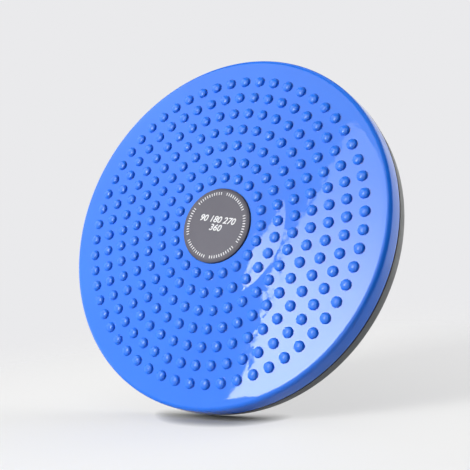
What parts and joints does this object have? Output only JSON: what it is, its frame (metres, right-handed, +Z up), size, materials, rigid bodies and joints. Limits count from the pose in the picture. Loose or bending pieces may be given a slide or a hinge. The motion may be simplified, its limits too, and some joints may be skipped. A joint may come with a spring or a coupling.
{
  "type": "waist twisting disc",
  "caption": "Round standing disc for waist twisting: a crowned plate with massage bumps turns on a flat base over a caged ball bearing, round one centre bolt.",
  "frame": {"origin": "centre of the disc on the surface that its pads rest on", "axes": "+Z up along the turning axis; +X along the common row of massage bumps and through the first rubber pad"},
  "size_m": [0.25, 0.25, 0.0312],
  "materials": {
    "gloss_blue": "gloss, moulded",
    "satin_grey": "satin, moulded",
    "cap_grey": "satin with a bevelled edge",
    "black_rubber": "matt",
    "natural_nylon": "natural",
    "zinc_steel": "zinc plated, pressed",
    "ball_steel": "polished"
  },
  "bodies": {
    "base": {"base_plate": "satin_grey", "lower_race": "zinc_steel", "pivot_sleeve": "zinc_steel", "upper_washer": "zinc_steel", "centre_bolt": "zinc_steel", "lower_washer": "zinc_steel", "lock_nut": "zinc_steel", "rubber_pad_1": "black_rubber", "rubber_pad_2": "black_rubber", "rubber_pad_3": "black_rubber", "rubber_pad_4": "black_rubber", "rubber_pad_5": "black_rubber", "rubber_pad_6": "black_rubber"},
    "top": {"top_plate": "gloss_blue", "centre_cap": "cap_grey", "upper_race": "zinc_steel"},
    "bearing": {"ball_cage": "natural_nylon", "ball_01": "ball_steel", "ball_02": "ball_steel", "ball_03": "ball_steel", "ball_04": "ball_steel", "ball_05": "ball_steel", "ball_06": "ball_steel", "ball_07": "ball_steel", "ball_08": "ball_steel", "ball_09": "ball_steel", "ball_10": "ball_steel", "ball_11": "ball_steel", "ball_12": "ball_steel", "ball_13": "ball_steel", "ball_14": "ball_steel", "ball_15": "ball_steel", "ball_16": "ball_steel", "ball_17": "ball_steel", "ball_18": "ball_steel", "ball_19": "ball_steel", "ball_20": "ball_steel", "ball_21": "ball_steel", "ball_22": "ball_steel", "ball_23": "ball_steel", "ball_24": "ball_steel"}
  },
  "joints": [
    {"name": "top_spin", "type": "hinge", "parent": "base", "child": "top", "pos_m": [0, 0, 0], "axis": [0, 0, 1], "continuous": true},
    {"name": "cage_spin", "type": "hinge", "parent": "base", "child": "bearing", "pos_m": [0, 0, 0], "axis": [0, 0, 1], "continuous": true}
  ],
  "couplings": [
    {"joint": "cage_spin", "follows": "top_spin", "ratio": 0.5}
  ]
}
